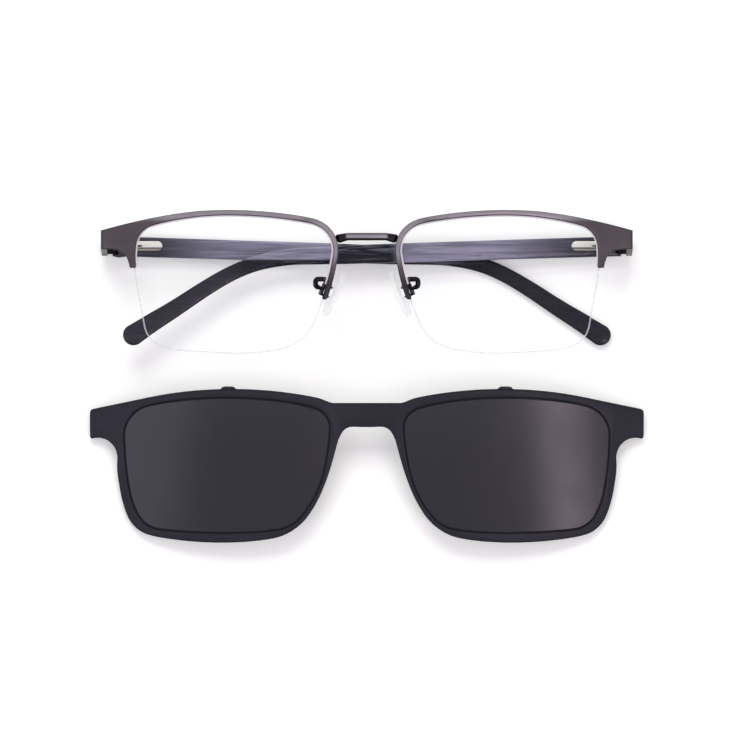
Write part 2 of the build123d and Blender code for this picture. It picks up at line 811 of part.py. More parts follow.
place("glasses_centre", (0, 0, 0))
place("fold_right", tuple(right_hinge.position))
place("fold_left", tuple(left_hinge.position))
place("pad_left", tuple(pad_plane.origin + pad_plane.z_dir * lug_tip))
print("direction pad_left", [round(v, 5) for v in pad_along])
print("direction pad_normal", [round(v, 5) for v in pad_to_nose])
print("angle clip_tilt", round(clip_tilt, 4))
seat = radial(*magnet_place, clip_back)
place("clip_magnet", tuple((clip_place * Pos(*tuple(seat.origin))).position))
turned = Rot(clip_tilt, 0, 0) * Pos(*tuple(seat.z_dir))
print("direction clip_magnet", [round(-v, 5) for v in turned.position])
place("front_magnet", tuple(radial(*magnet_place, rim_proud).origin))
print("direction front_magnet", [round(v, 5) for v in seat.z_dir])
docked = clip_place.inverse()
print("docking move", [round(v, 4) for v in docked.position], [round(v, 4) for v in docked.orientation])

os.makedirs("parts", exist_ok=True)
for name, part in sorted(nodes.items()):
    export_step(solid(home * part), "parts/" + name + ".step")
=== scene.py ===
import json
import math
from functools import partial, reduce

import bpy
from bpy.props import FloatProperty, FloatVectorProperty, PointerProperty
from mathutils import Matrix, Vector


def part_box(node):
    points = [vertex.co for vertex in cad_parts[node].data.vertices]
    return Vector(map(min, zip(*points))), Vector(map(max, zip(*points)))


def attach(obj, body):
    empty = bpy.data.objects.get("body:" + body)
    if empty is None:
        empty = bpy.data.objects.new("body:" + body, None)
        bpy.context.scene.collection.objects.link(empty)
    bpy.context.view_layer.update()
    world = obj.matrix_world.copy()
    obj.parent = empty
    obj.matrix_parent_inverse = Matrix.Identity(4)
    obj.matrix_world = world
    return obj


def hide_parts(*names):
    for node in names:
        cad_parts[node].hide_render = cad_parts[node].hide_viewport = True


bl_info = {
    "name": "Half-rim glasses with a magnetic sun clip",
    "version": (1, 0, 0),
    "blender": (4, 5, 0),
    "location": "View3D > Sidebar > Glasses",
    "description": "Dresses the packed glasses and their sun clip and sets up the table they lie on",
    "category": "Object",
}

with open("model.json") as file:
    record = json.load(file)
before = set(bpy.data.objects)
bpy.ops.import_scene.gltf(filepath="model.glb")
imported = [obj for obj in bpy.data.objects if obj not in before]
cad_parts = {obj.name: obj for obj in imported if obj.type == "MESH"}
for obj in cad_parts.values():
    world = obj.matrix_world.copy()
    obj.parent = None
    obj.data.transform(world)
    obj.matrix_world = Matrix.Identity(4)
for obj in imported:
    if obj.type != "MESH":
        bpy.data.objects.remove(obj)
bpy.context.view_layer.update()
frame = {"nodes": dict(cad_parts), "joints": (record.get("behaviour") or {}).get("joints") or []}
MM = 0.001
SIDES = ("right", "left")
UP = Vector((0, 0, 1))

# A sharp edge, in degrees, a face that looks up, and how near points and faces are joined
SHARP, FACES_UP = 38, 0.8
MERGE, SAME_FACE = 0.002 * MM, 0.6

# Brow: its parts by how far up the picture and from the middle they are, which place its painted highlight
# and painted shade, and the return's level
RIM_LOW, RIM_HIGH = 41.2 * MM, 42.8 * MM
NOSE_NEAR, NOSE_FAR = 12 * MM, 19 * MM
LEG_END, LEG_DARK, LEG_BRIGHT = 24 * MM, 28.5 * MM, 33.5 * MM
LEG_CORNER = 0.6 * MM
RETURN_IN, RETURN_TOP = 60 * MM, 13.2 * MM
RIM_FEET = {"nose": 24.3 * MM, "end": 29.6 * MM}
# The outer part of the brow's top edge, which stands a bit high, and each lowering's reach in millimetres
STEP_END, STEP_TOP, STEP_FOOT, STEP_FALL = 36.75 * MM, 44.2 * MM, 44.63 * MM, 0.16 * MM
STEP_CORNER, STEP_MERGE = 0.1 * MM, 0.01 * MM
STEP_REACHES = (7.5, 5.8, 4.2, 2.5)

# Bridge bar: its foot across, and its painted highlight and painted shade bands down from the top
FOOT_START, FOOT_FULL = 5.0 * MM, 5.9 * MM
BAR_BRIGHT, BAR_DARK = 1.15 * MM, 1.6 * MM

# Temples: places from the hinge, the lower edge of the patch of painted reflection, and how softly the
# colours and the painted reflection change
PATCH_START, PATCH_END, PATCH_LOW = 76 * MM, 106 * MM, 31.1 * MM
PATCH_IN, PATCH_OUT, PATCH_SOFT = 1.5 * MM, 3 * MM, 0.6 * MM
CHANGE_SOFT, CHANGE_WANDER = 3 * MM, 4 * MM
VEINS_FADE, VEINS_END = 88 * MM, 100 * MM
EAR_START, EAR_FULL = 98 * MM, 108 * MM

# Spring box: its seat in the temple, whose edges stay sharp, how far down its upper face reaches, and
# the groove in that face, with its ends as shares of the hinge's distance from the middle
SEAT_LONG, SEAT_HALF, HINGE_END = 17 * MM, 2.2 * MM, 0.5 * MM
BOX_FACE, GROOVE_SOFT = 1.2 * MM, 0.1 * MM
GROOVE_END_SHARES = (0.79, 0.93)

# Clip: its hooks, and the peak under its bridge with each cut's reach and fall, in millimetres
HOOK_MIDDLE, HOOK_REACH, HOOK_LOW = 37.1 * MM, 2.4 * MM, -3.7 * MM
SEAM = 0.6 * MM
PEAK_TOP = -12.5 * MM
PEAK_CUTS = ((1.2, 0.04), (0.7, 0.1), (0.2, 0.16))

# Nose pad: points round its rim, steps of its taper, its flat rim and rounded edge as shares of its
# width and thickness, and how its face rises and narrows. Its arm thickens in a step
PAD_POINTS, PAD_STEPS = 40, 9
PAD_RIM_SHARE, PAD_EDGE_SHARE = 0.09, 0.36
PAD_RISES = ((0.5, 0.82), (0.3, 0.72), (0.2, 0.55))
ARM_STEP = 0.6 * MM

# Grain: how far it stands out on lacquer and metal, on moulded plastic and on silicone
FINE_GRAIN, MOULD_GRAIN, RIPPLE = 0.004 * MM, 0.01 * MM, 0.03 * MM

# Table, camera and lights, in metres but for the sensor: each light has its place, its aim and its size
TABLE_WIDE, TABLE_DROP = 6.0, 0.05 * MM
SENSOR, NEAREST, FARTHEST = 36, 0.1, 10
KEY_LIGHT = (-0.1, 0.75, 0.95), (0, 0, 0.01), (0.7, 0.5)
SIDE_STRIP = (0.46, -0.33, 0.91), (0.05, -0.02, 0.01), (0.09, 0.8)
SIDE_GLOW = (-0.67, -0.33, 0.76), (-0.05, -0.02, 0.01), (0.28, 0.8)


def joints_of(kind):
    """The record's joints of one kind, by the side they are on."""
    return {j["name"].removeprefix(kind): j for j in frame["joints"] if j["name"].startswith(kind)}


HINGE = {side: Vector(joint["pos_m"]) for side, joint in joints_of("fold_").items()}
PAD_PIVOT = joints_of("pad_swivel_")


def paint(red, green, blue):
    """A colour as a screen shows it, 0 to 255, as the linear colour that a material takes."""
    shares = [v / 255 for v in (red, green, blue)]
    return tuple(v / 12.92 if v <= 0.04045 else ((v + 0.055) / 1.055) ** 2.4 for v in shares)


def colour(name, description, *screen):
    return FloatVectorProperty(
        name=name, description=description, subtype="COLOR", size=3, min=0, max=1, default=paint(*screen)
    )


def length(name, description, millimetres):
    return FloatProperty(
        name=name, description=description, unit="LENGTH", precision=5, min=0, default=millimetres * MM
    )


def share(name, description, value, top=1.0):
    return FloatProperty(name=name, description=description, subtype="FACTOR", min=0, max=top, default=value)


def power(name, description, watts):
    return FloatProperty(name=name, description=description, unit="POWER", default=watts)


class FrontFinish(bpy.types.PropertyGroup):
    """Colours and edges of the optical front."""

    rim: colour("Brow metal", "Satin lacquer of the brows and end pieces", 94, 86, 89)
    # Painted highlight along the thin rim and the top of the nose leg.
    rim_bright: colour("Polished brow metal", "Along the thin rim and the top of the nose leg", 158, 151, 155)
    # Painted shade at the end of the nose leg.
    rim_dark: colour("Leg end", "The lacquer at the end of the nose leg", 58, 55, 60)
    rim_edge: length("Brow edge", "Rounding of the brows' edges", 0.38)
    rim_roughness: share("Brow roughness", "How dull the brow lacquer is", 0.36)
    leg_round: length("Leg corners", "Rounding of the corners at the end of the nose leg", 0.7)
    # Painted highlight along the bridge bar's middle; the shade colour below is painted shade on its edges
    # and also darkens its feet.
    bridge: colour("Bridge metal", "Gloss lacquer of the bridge bar, along its middle", 170, 165, 170)
    bridge_dark: colour("Bridge shade", "The bridge bar's darker feet and lower side", 44, 41, 46)
    bridge_edge: length("Bridge edge", "Rounding of the bridge bar", 0.8)
    hinge: colour("Hinge metal", "Lacquer of the hinge leaves", 40, 37, 42)
    screw: colour("Screw steel", "Bare steel of the screws", 170, 168, 166)
    glass: colour("Lens", "Clear lenses", 254, 255, 255)
    thread: colour("Nylon", "The thread that holds the lenses", 226, 228, 231)
    liner: colour("Liner", "Milky liner between lens and brow", 226, 220, 230)
    liner_in: length("Liner place", "From the lens's edge to the liner", 0.58)
    liner_wide: length("Liner width", "How much of the liner shows", 0.5)
    liner_thick: length("Liner height", "How far the liner stands on the lens", 0.2)


class PadShape(bpy.types.PropertyGroup):
    """Form and colours of the nose pads and their arms."""

    long: length("Length", "Length of a nose pad", 12.7)
    wide: length("Width", "Width of a nose pad at its lower end", 6.3)
    narrow: share("Upper width", "Width of the upper end as a share of the lower", 0.74)
    thick: length("Thickness", "Thickness of the pad over its core", 1.4)
    crown: length("Crown", "How far the face towards the nose swells", 0.28)
    pivot_drop: length("Pivot", "From the pad's middle back to the screw", 2.0)
    splay: FloatProperty(
        name="Splay", description="How far the pads open", subtype="ANGLE", default=math.radians(20)
    )
    silicone: colour("Silicone", "Milky silicone of the pads", 250, 251, 252)
    arm: colour("Arm metal", "Lacquer of the pad arms", 30, 28, 32)
    arm_edge: length("Arm edge", "Rounding of the pad arms", 0.17)
    arm_skin: length("Arm thickness", "How much lacquer and solder thicken the bent wire", 0.3)
    arm_free: length("Bare fork", "How far from the screw the wire starts to thicken", 2.2)


class TempleFinish(bpy.types.PropertyGroup):
    """Colours and edges of the temples and their spring hinges."""

    near: colour("Near the hinge", "Acetate at the hinge end", 62, 60, 72)
    # The pale colour is a painted reflection over the acetate, not its own colour.
    pale: colour("Pale stretch", "Acetate before the temple turns dark", 145, 141, 165)
    far: colour("Dark stretch", "Acetate where the temples cross", 17, 15, 30)
    ear: colour("Left ear end", "Acetate of the left temple's ear end", 43, 41, 51)
    # The right ear end is the same acetate painted darker: painted shade.
    ear_right: colour("Right ear end", "Acetate of the right temple's ear end", 31, 29, 38)
    vein: colour("Veins", "The lighter veins in the acetate", 108, 108, 124)
    pale_from: length("Pale from", "From the hinge to where the acetate starts to pale", 12)
    pale_to: length("Pale to", "From the hinge to where the acetate is palest", 40)
    change: length("Change", "From the hinge to where the temple turns dark", 61.5)
    edge: length("Temple edge", "Rounding along the temples", 0.7)
    box: colour("Spring box", "Bare nickel of the spring boxes", 250, 248, 240)
    box_low: colour("Box below", "The spring boxes below their line", 168, 164, 156)
    # Painted shade in the groove along the box.
    box_line: colour("Box line", "The dark line along the spring boxes", 60, 56, 50)
    box_edge: length("Box edge", "Rounding of the spring boxes", 0.3)
    box_groove: length("Box groove", "Width and depth of the line along the spring boxes", 0.3)
    groove_low: share("Groove place", "Height of the line on the box, as a share", 0.29)
    steel: colour("Steel", "Slider, stop, coil and stiffening wire", 178, 178, 180)


class ClipFinish(bpy.types.PropertyGroup):
    """Colours and edges of the sun clip."""

    plastic: colour("Clip plastic", "Moulded frame of the clip", 34, 33, 43)
    plastic_edge: length("Clip edge", "Rounding of the clip frame", 0.26)
    opening_edge: length("Opening edge", "Rounding in front round the clip's lens openings", 0.36)
    hook_round: length("Hook corners", "Rounding of the corners of the clip's hooks", 0.7)
    tint: colour("Lens tint", "Dark tint of the clip lenses", 32, 30, 38)
    # Painted reflection that lightens the lenses' upper half.
    tint_top: share("Top of the tint", "How much lighter the lenses are at their top", 0.5, 3.0)
    # Painted shade: the dark strip round each clip lens stands for the shade at the frame's lip, not for
    # glue.
    gasket: colour("Gasket", "Dark glue line round the clip lenses", 16, 14, 24)
    gasket_in: length("Gasket place", "From the lens's edge to the glue line", 0.58)
    gasket_wide: length("Gasket width", "How much of the glue line shows", 0.42)
    gasket_thick: length("Gasket height", "How far the glue line stands on the lens", 0.1)
    magnet: colour("Nickel", "Plating of the magnets", 205, 205, 208)


class TableSetting(bpy.types.PropertyGroup):
    """Camera, floor and light."""

    view_width: length("View width", "How much of the table the picture shows", 201)
    view_height: length("Camera height", "How high the camera hangs", 3000)
    view_x: length("View centre X", "Middle of the picture across", 2.2)
    view_y: length("View centre Y", "Middle of the picture along", 0.4)
    focus_z: length("View level", "Level at which the view width is measured", 18)
    floor: colour("Table", "Colour of the table", 250, 250, 250)
    ambient: share("Ambient", "Strength of the light from all round", 0.66, 2.0)
    floor_glow: share("Table glow", "How much whiter the table looks than it is lit", 0.2)
    ceiling: share("Ceiling", "How bright the room looks in a shine, beside white", 0.75)
    room: colour("Room", "The room's colour in a shine", 246, 243, 255)
    near_wall: share("Near wall", "How bright the wall on the near side looks in a shine", 0.1)
    near_from: share("Near wall edge", "How near a direction is when the wall starts to show", 0.42)
    near_full: share("Near wall middle", "How near a direction is when the wall is darkest", 0.85)
    key: power("Key light", "Power of the large light", 6.0)
    strip: power("Strip light", "Power of the side strip", 1.1)
    glow: power("Side glow", "Power of the soft side light", 0.62)


def finish_of(name):
    """The scene's settings of one group."""
    return getattr(bpy.context.scene, "glasses_" + name)


# Selecting and shaping


def mode(name):
    bpy.ops.object.mode_set(mode=name)


def pick_all():
    bpy.ops.mesh.select_all(action="SELECT")


def alone(piece):
    """Selects one piece and nothing else."""
    if bpy.context.object and bpy.context.object.mode != "OBJECT":
        mode("OBJECT")
    bpy.ops.object.select_all(action="DESELECT")
    piece.select_set(True)
    bpy.context.view_layer.objects.active = piece


def placed(name, data):
    """A new object in the scene."""
    thing = bpy.data.objects.new(name, data)
    bpy.context.scene.collection.objects.link(thing)
    return thing


def added(name):
    """Names the piece that was just added and selects it alone."""
    piece = bpy.context.object
    piece.name = name
    piece.data.name = name
    alone(piece)
    return piece


def choose(piece, kind, test):
    """In edit mode, selects the vertices, edges or faces that pass a test and nothing else."""
    bpy.ops.mesh.select_mode(type=kind)
    bpy.ops.mesh.select_all(action="DESELECT")
    mode("OBJECT")
    items = {"VERT": piece.data.vertices, "EDGE": piece.data.edges, "FACE": piece.data.polygons}[kind]
    found = 0
    for item in items:
        item.select = bool(test(item))
        found += item.select
    mode("EDIT")
    if not found:
        raise RuntimeError(piece.name + " has nothing to shape there")


def removed(piece, test):
    """In edit mode, takes away the faces that pass a test."""
    choose(piece, "FACE", test)
    bpy.ops.mesh.delete(type="FACE")


def carved(piece, kind, **settings):
    """Adds a modifier with its settings and applies it."""
    modifier = piece.modifiers.new(kind.lower(), kind)
    for name, value in settings.items():
        setattr(modifier, name, value)
    alone(piece)
    bpy.ops.object.modifier_apply(modifier=modifier.name)


def rounded(piece, width, segments=3, angle=SHARP, method="ANGLE"):
    """Rounds the sharp edges, or those with a weight."""
    which = {"limit_method": method, "angle_limit": math.radians(angle)}
    corners = {"use_clamp_overlap": False, "miter_outer": "MITER_ARC"}
    carved(piece, "BEVEL", width=width, segments=segments, **which, **corners)


def weigh(piece, share_of):
    """Gives each edge its share of the rounding, from its middle, its run and its faces' normals."""
    mesh = piece.data
    weights = mesh.attributes.new("bevel_weight_edge", "FLOAT", "EDGE")
    beside = {}
    for face in mesh.polygons:
        for key in face.edge_keys:
            beside.setdefault(key, []).append(face.normal)
    for edge in mesh.edges:
        normals = beside.get(tuple(sorted(edge.vertices)), [])
        start, end = (mesh.vertices[v].co for v in edge.vertices)
        if len(normals) == 2:
            bend = normals[0].angle(normals[1], 0)
            run = (end - start).normalized()
            weights.data[edge.index].value = share_of((start + end) / 2, run, normals, bend)


def smooth(piece, angle=35):
    alone(piece)
    bpy.ops.object.shade_smooth_by_angle(angle=math.radians(angle))


def traced(node, name, instead=True):
    """A copy of a CAD node with its loose triangles merged, which stands for it or lies on it."""
    piece = placed(name, frame["nodes"][node].data.copy())
    piece.data.name = name
    piece.data.materials.clear()
    alone(piece)
    bpy.ops.mesh.customdata_custom_splitnormals_clear()
    mode("EDIT")
    pick_all()
    bpy.ops.mesh.remove_doubles(threshold=MERGE)
    bpy.ops.mesh.dissolve_limited(angle_limit=math.radians(SAME_FACE))
    mode("OBJECT")
    if instead:
        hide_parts(node)
    return piece


def edge_ring(node, name, inwards, wide, thick, kept=None):
    """A thin raised strip on the front of a lens that follows its edge, where kept says so."""
    piece = traced(node, name, instead=False)
    mode("EDIT")
    removed(piece, lambda f: f.normal.z < FACES_UP)
    pick_all()
    bpy.ops.mesh.inset(thickness=inwards, depth=0)
    bpy.ops.mesh.select_all(action="INVERT")
    bpy.ops.mesh.delete(type="FACE")
    pick_all()
    bpy.ops.mesh.inset(thickness=wide, depth=0)
    bpy.ops.mesh.delete(type="FACE")
    if kept:
        removed(piece, lambda f: not kept(f.center))
    mode("OBJECT")
    carved(piece, "SOLIDIFY", thickness=thick, offset=1.0)
    rounded(piece, thick * 0.4, segments=2, angle=60)
    smooth(piece)
    return piece


def dress(piece, body, material):
    """Gives a piece its material and the body that it rides on."""
    piece.data.materials.clear()
    piece.data.materials.append(material)
    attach(piece, body)


def repaint(node, material):
    """Puts a better material on a CAD node that stays as it is."""
    piece = frame["nodes"][node]
    if piece.material_slots:
        piece.material_slots[0].material = material
    else:
        piece.data.materials.append(material)


# Material parts

KINDS = {"Colour": "Color", "Across": "Vector"}


def new_material(name):
    material = bpy.data.materials.new(name)
    material.use_nodes = True
    tree = material.node_tree
    return material, tree, tree.nodes["Principled BSDF"]


def fill(tree, node, inputs):
    """Gives a node's inputs their values or links."""
    for key, value in inputs.items():
        socket = node.inputs[key]
        if isinstance(value, bpy.types.NodeSocket):
            tree.links.new(value, socket)
        else:
            socket.default_value = value
    return node


def put(tree, kind, inputs=None, **settings):
    """A new shader node with its settings and inputs."""
    node = tree.nodes.new("ShaderNode" + kind)
    for name, value in settings.items():
        setattr(node, name, value)
    return fill(tree, node, inputs or {})


def spot_on(tree):
    """Where on the piece a spot is."""
    return put(tree, "TexCoord").outputs["Object"]


def parts_of(tree, vector):
    return put(tree, "SeparateXYZ", {0: vector}).outputs


def maths(tree, operation, *values):
    """The result of one step of arithmetic on numbers or sockets."""
    return put(tree, "Math", dict(enumerate(values)), operation=operation).outputs[0]


def highest(tree, *values):
    return reduce(partial(maths, tree, "MAXIMUM"), values)


def scaled(tree, tone, level):
    """A colour made lighter or darker."""
    return put(tree, "VectorMath", {0: tone, "Scale": level}, operation="SCALE").outputs[0]


def stretched(tree, spot, across):
    """A spot for a pattern that is finer across than along."""
    return put(tree, "VectorMath", {0: spot, 1: across}, operation="MULTIPLY").outputs[0]


def cloudy(tree, spot, scale, detail, **more):
    """A cloudy pattern."""
    return put(tree, "TexNoise", {"Vector": spot, "Scale": scale, "Detail": detail, **more}).outputs["Fac"]


def graded(tree, value, start, end, low=0.0, high=1.0, way="SMOOTHSTEP"):
    """A change from low to high while a value goes from start to end."""
    inputs = {"Value": value, "From Min": start, "From Max": end, "To Min": low, "To Max": high}
    return put(tree, "MapRange", inputs, interpolation_type=way).outputs[0]


def evenly(tree, value, start, end, low=0.0, high=1.0):
    return graded(tree, value, start, end, low, high, way="LINEAR")


def blended(tree, part, first, second):
    """Mixes two colours or colour sockets."""
    pair = [c if isinstance(c, bpy.types.NodeSocket) else (*c, 1) for c in (first, second)]
    return put(tree, "Mix", {0: part, 6: pair[0], 7: pair[1]}, data_type="RGBA").outputs[2]


def bumps(tree, height, strength, distance):
    inputs = {"Strength": strength, "Distance": distance, "Height": height}
    return put(tree, "Bump", inputs).outputs["Normal"]


def group_of(name, inputs, outputs):
    """A new node group with its named inputs and outputs, plain numbers unless KINDS says otherwise."""
    tree = bpy.data.node_groups.new(name, "ShaderNodeTree")
    for way, labels in (("INPUT", inputs), ("OUTPUT", outputs)):
        for label in labels:
            kind = "NodeSocket" + KINDS.get(label, "Float")
            socket = tree.interface.new_socket(label, in_out=way, socket_type=kind)
            if way == "INPUT":
                socket.default_value = inputs[label]
    return tree, tree.nodes.new("NodeGroupInput").outputs, tree.nodes.new("NodeGroupOutput")


def effect(tree, maker, **values):
    """Puts a node group into a material with its own values, and builds it the first time."""
    if maker.__name__ not in bpy.data.node_groups:
        maker()
    group = bpy.data.node_groups[maker.__name__]
    return fill(tree, put(tree, "Group", node_tree=group), values).outputs


def lacquer_grain():
    """Fine grain of a sprayed or moulded skin: a shaded colour and a height."""
    inputs = {"Colour": (0.5, 0.5, 0.5, 1), "Grain": 4000.0, "Cloud": 90.0, "Depth": 0.2}
    tree, given, out = group_of("lacquer_grain", inputs, ("Colour", "Height"))
    spot = spot_on(tree)
    fine = cloudy(tree, spot, given["Grain"], 3.0)
    wide = cloudy(tree, spot, given["Cloud"], 4.0)
    low = maths(tree, "SUBTRACT", 1.0, given["Depth"])
    high = maths(tree, "ADD", 1.0, given["Depth"])
    level = evenly(tree, maths(tree, "MULTIPLY_ADD", fine, 0.4, wide), 0.45, 0.95, low, high)
    fill(tree, out, {"Colour": scaled(tree, given["Colour"], level), "Height": fine})


def drawn_lines():
    """Fine lines that run across a drawn or brushed metal."""
    inputs = {"Across": (40.0, 2500.0, 2500.0), "Depth": 0.2}
    tree, given, out = group_of("drawn_lines", inputs, ("Shade", "Height"))
    lines = cloudy(tree, stretched(tree, spot_on(tree), given["Across"]), 1.0, 3.0)
    low = maths(tree, "SUBTRACT", 1.0, given["Depth"])
    fill(tree, out, {"Shade": evenly(tree, lines, 0.3, 0.7, low), "Height": lines})


def painted_side_shade():
    """Painted shade: darkens a colour on the sides and rounded edges, the more the face turns away from
    looking up.
    """
    inputs = {"Colour": (0.5, 0.5, 0.5, 1), "Side": 0.5, "Top": 0.97}
    tree, given, out = group_of("painted_side_shade", inputs, ("Colour", "Mask"))
    facing = put(tree, "TexCoord").outputs["Normal"]
    flat = graded(tree, parts_of(tree, facing)["Z"], 0.6, given["Top"])
    # Side is how dark the painted shade makes a side.
    level = evenly(tree, flat, 0.0, 1.0, given["Side"])
    fill(tree, out, {"Colour": scaled(tree, given["Colour"], level), "Mask": flat})


def handling_marks():
    """Where fingers have dulled a gloss: a roughness that changes in soft patches."""
    inputs = {"Clean": 0.1, "Dulled": 0.25, "Size": 120.0}
    tree, given, out = group_of("handling_marks", inputs, ("Roughness",))
    patch = cloudy(tree, spot_on(tree), given["Size"], 5.0, Roughness=0.6, Distortion=0.4)
    fill(tree, out, {"Roughness": evenly(tree, patch, 0.42, 0.68, given["Clean"], given["Dulled"])})


# Finishes


def worn(tree, clean, dulled, size):
    """A roughness with the marks of handling."""
    return effect(tree, handling_marks, Clean=clean, Dulled=dulled, Size=size)["Roughness"]


def lacquered_metal(name, tone, roughness, metallic=0.8, depth=0.12, coat=0.0, side=0.5):
    """Metal under a sprayed, slightly grained lacquer, with painted shade on its sides."""
    material, tree, shader = new_material(name)
    skin = tone(tree) if callable(tone) else (*tone, 1)
    grained = effect(tree, lacquer_grain, Colour=skin, Grain=3500.0, Cloud=140.0, Depth=depth)
    # Painted shade on the sides and rounded edges, as dark as side says.
    shaded = effect(tree, painted_side_shade, Colour=grained["Colour"], Side=side, Top=0.95)
    looks = {
        "Base Color": shaded["Colour"],
        "Roughness": worn(tree, roughness * 0.88, roughness * 1.2, 160.0),
        "Metallic": metallic,
        "Coat Weight": coat,
        "Coat Roughness": 0.12,
        "Normal": bumps(tree, grained["Height"], 0.25, FINE_GRAIN),
    }
    fill(tree, shader, looks)
    return material


def from_middle(tree):
    """How far a spot is from the middle, and how far up the picture."""
    parts = parts_of(tree, spot_on(tree))
    return maths(tree, "ABSOLUTE", parts["X"]), parts["Y"]


def brow_tones(tree):
    """The brow's lacquer, with a painted highlight on the thin rim and the nose leg's top and painted shade
    at the leg's end.
    """
    chosen = finish_of("front")
    across, along = from_middle(tree)
    by_nose = graded(tree, across, NOSE_NEAR, NOSE_FAR, 1.0, 0.0)
    leg_top_highlight_mask = maths(tree, "MULTIPLY", by_nose, graded(tree, along, LEG_DARK, LEG_BRIGHT))
    # Painted highlight on the rim and the leg's top; painted shade at the leg's end.
    highlight_mask = highest(tree, graded(tree, along, RIM_LOW, RIM_HIGH), leg_top_highlight_mask)
    leg_shade_mask = maths(tree, "MULTIPLY", by_nose, graded(tree, along, LEG_END, LEG_DARK, 1.0, 0.0))
    return blended(tree, leg_shade_mask, blended(tree, highlight_mask, chosen.rim, chosen.rim_bright), chosen.rim_dark)


def bridge_tones(tree):
    """The bridge bar's lacquer: a painted highlight along its middle, painted shade on its upper edge and
    lower side, and darker towards its feet.
    """
    chosen = finish_of("front")
    across, along = from_middle(tree)
    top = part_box("bridge_bar")[1][1]
    # Painted shade on the upper edge and lower side, leaving a painted highlight between.
    edge = graded(tree, along, top - BAR_BRIGHT * 0.75, top - BAR_BRIGHT * 0.4, 0.0, 0.36)
    below = graded(tree, along, top - BAR_DARK, top - BAR_BRIGHT, 1.0, 0.0)
    foot = graded(tree, across, FOOT_START, FOOT_FULL)
    return blended(tree, highest(tree, foot, below, edge), chosen.bridge, chosen.bridge_dark)


def box_tones(tree, line):
    """The spring box's nickel: brighter above the line along it and darker below, with painted shade in the
    line's groove.
    """
    chosen = finish_of("temple")
    height = parts_of(tree, spot_on(tree))["Y"]
    below = graded(tree, height, line - GROOVE_SOFT, line + GROOVE_SOFT, 1.0, 0.0)
    off_line = maths(tree, "ABSOLUTE", maths(tree, "SUBTRACT", height, line))
    # Painted shade in the groove.
    on_line = graded(tree, off_line, chosen.box_groove * 0.35, chosen.box_groove * 0.75, 0.85, 0.0)
    return blended(tree, on_line, blended(tree, below, chosen.box, chosen.box_low), chosen.box_line)


def bare_metal(name, tone, roughness, across=(60.0, 3000.0, 3000.0), depth=0.22, metallic=1.0):
    """Brushed or drawn bare metal."""
    material, tree, shader = new_material(name)
    tone = tone(tree) if callable(tone) else tuple(tone)
    lines = effect(tree, drawn_lines, Across=across, Depth=depth)
    looks = {
        "Base Color": scaled(tree, tone, lines["Shade"]),
        "Roughness": worn(tree, roughness, roughness * 1.5, 250.0),
        "Metallic": metallic,
        "Normal": bumps(tree, lines["Height"], 0.2, FINE_GRAIN),
    }
    fill(tree, shader, looks)
    return material


def moulded_plastic(name, tone, roughness):
    """Matt moulded plastic with a spark-eroded skin, dullest on its sides, with painted shade there."""
    material, tree, shader = new_material(name)
    grained = effect(tree, lacquer_grain, Colour=(*tone, 1), Grain=2600.0, Cloud=70.0, Depth=0.16)
    # Painted shade on the sides and rounded edges.
    shaded = effect(tree, painted_side_shade, Colour=grained["Colour"], Side=0.45, Top=0.93)
    flat = worn(tree, roughness * 0.85, roughness * 1.15, 90.0)
    looks = {
        "Base Color": shaded["Colour"],
        "Roughness": evenly(tree, shaded["Mask"], 0.0, 1.0, 0.9, flat),
        "IOR": 1.33,
        "Normal": bumps(tree, grained["Height"], 0.35, MOULD_GRAIN),
    }
    fill(tree, shader, looks)
    return material


def light_passes(tree, shader, through):
    """Lets light, its bounces and its reflections straight through a clear material."""
    rays = put(tree, "LightPath").outputs
    other = highest(tree, rays["Is Shadow Ray"], rays["Is Diffuse Ray"], rays["Is Glossy Ray"])
    part = maths(tree, "MULTIPLY", other, through)
    open_way = put(tree, "BsdfTransparent", {"Color": (1, 1, 1, 1)}).outputs[0]
    mixed = put(tree, "MixShader", {"Fac": part, 1: shader.outputs[0], 2: open_way}).outputs[0]
    fill(tree, tree.nodes["Material Output"], {"Surface": mixed})


def clear_material(name, tone, roughness, refraction, through, dull=0.02, ripple=0.0, clear=1.0):
    """Clear glass, nylon or silicone, with faint marks in its polish, and milky unless fully clear."""
    material, tree, shader = new_material(name)
    looks = {
        "Base Color": (*tone, 1),
        "Roughness": worn(tree, roughness, roughness + dull, 60.0),
        "Transmission Weight": clear,
        "IOR": refraction,
    }
    if ripple:
        skin = effect(tree, lacquer_grain, Colour=(*tone, 1), Grain=900.0, Cloud=200.0, Depth=0.1)
        looks["Normal"] = bumps(tree, skin["Height"], ripple, RIPPLE)
    fill(tree, shader, looks)
    light_passes(tree, shader, through)
    return material


def pale_patch(tree, along, height):
    """Where a painted pale reflection lies again on the upper one of the crossed temples: a stretch of its
    upper half.
    """
    start = graded(tree, along, PATCH_START, PATCH_START + PATCH_IN)
    end = graded(tree, along, PATCH_END - PATCH_OUT, PATCH_END, 1.0, 0.0)
    upper = graded(tree, height, PATCH_LOW, PATCH_LOW + PATCH_SOFT)
    return maths(tree, "MULTIPLY", maths(tree, "MULTIPLY", start, end), upper)


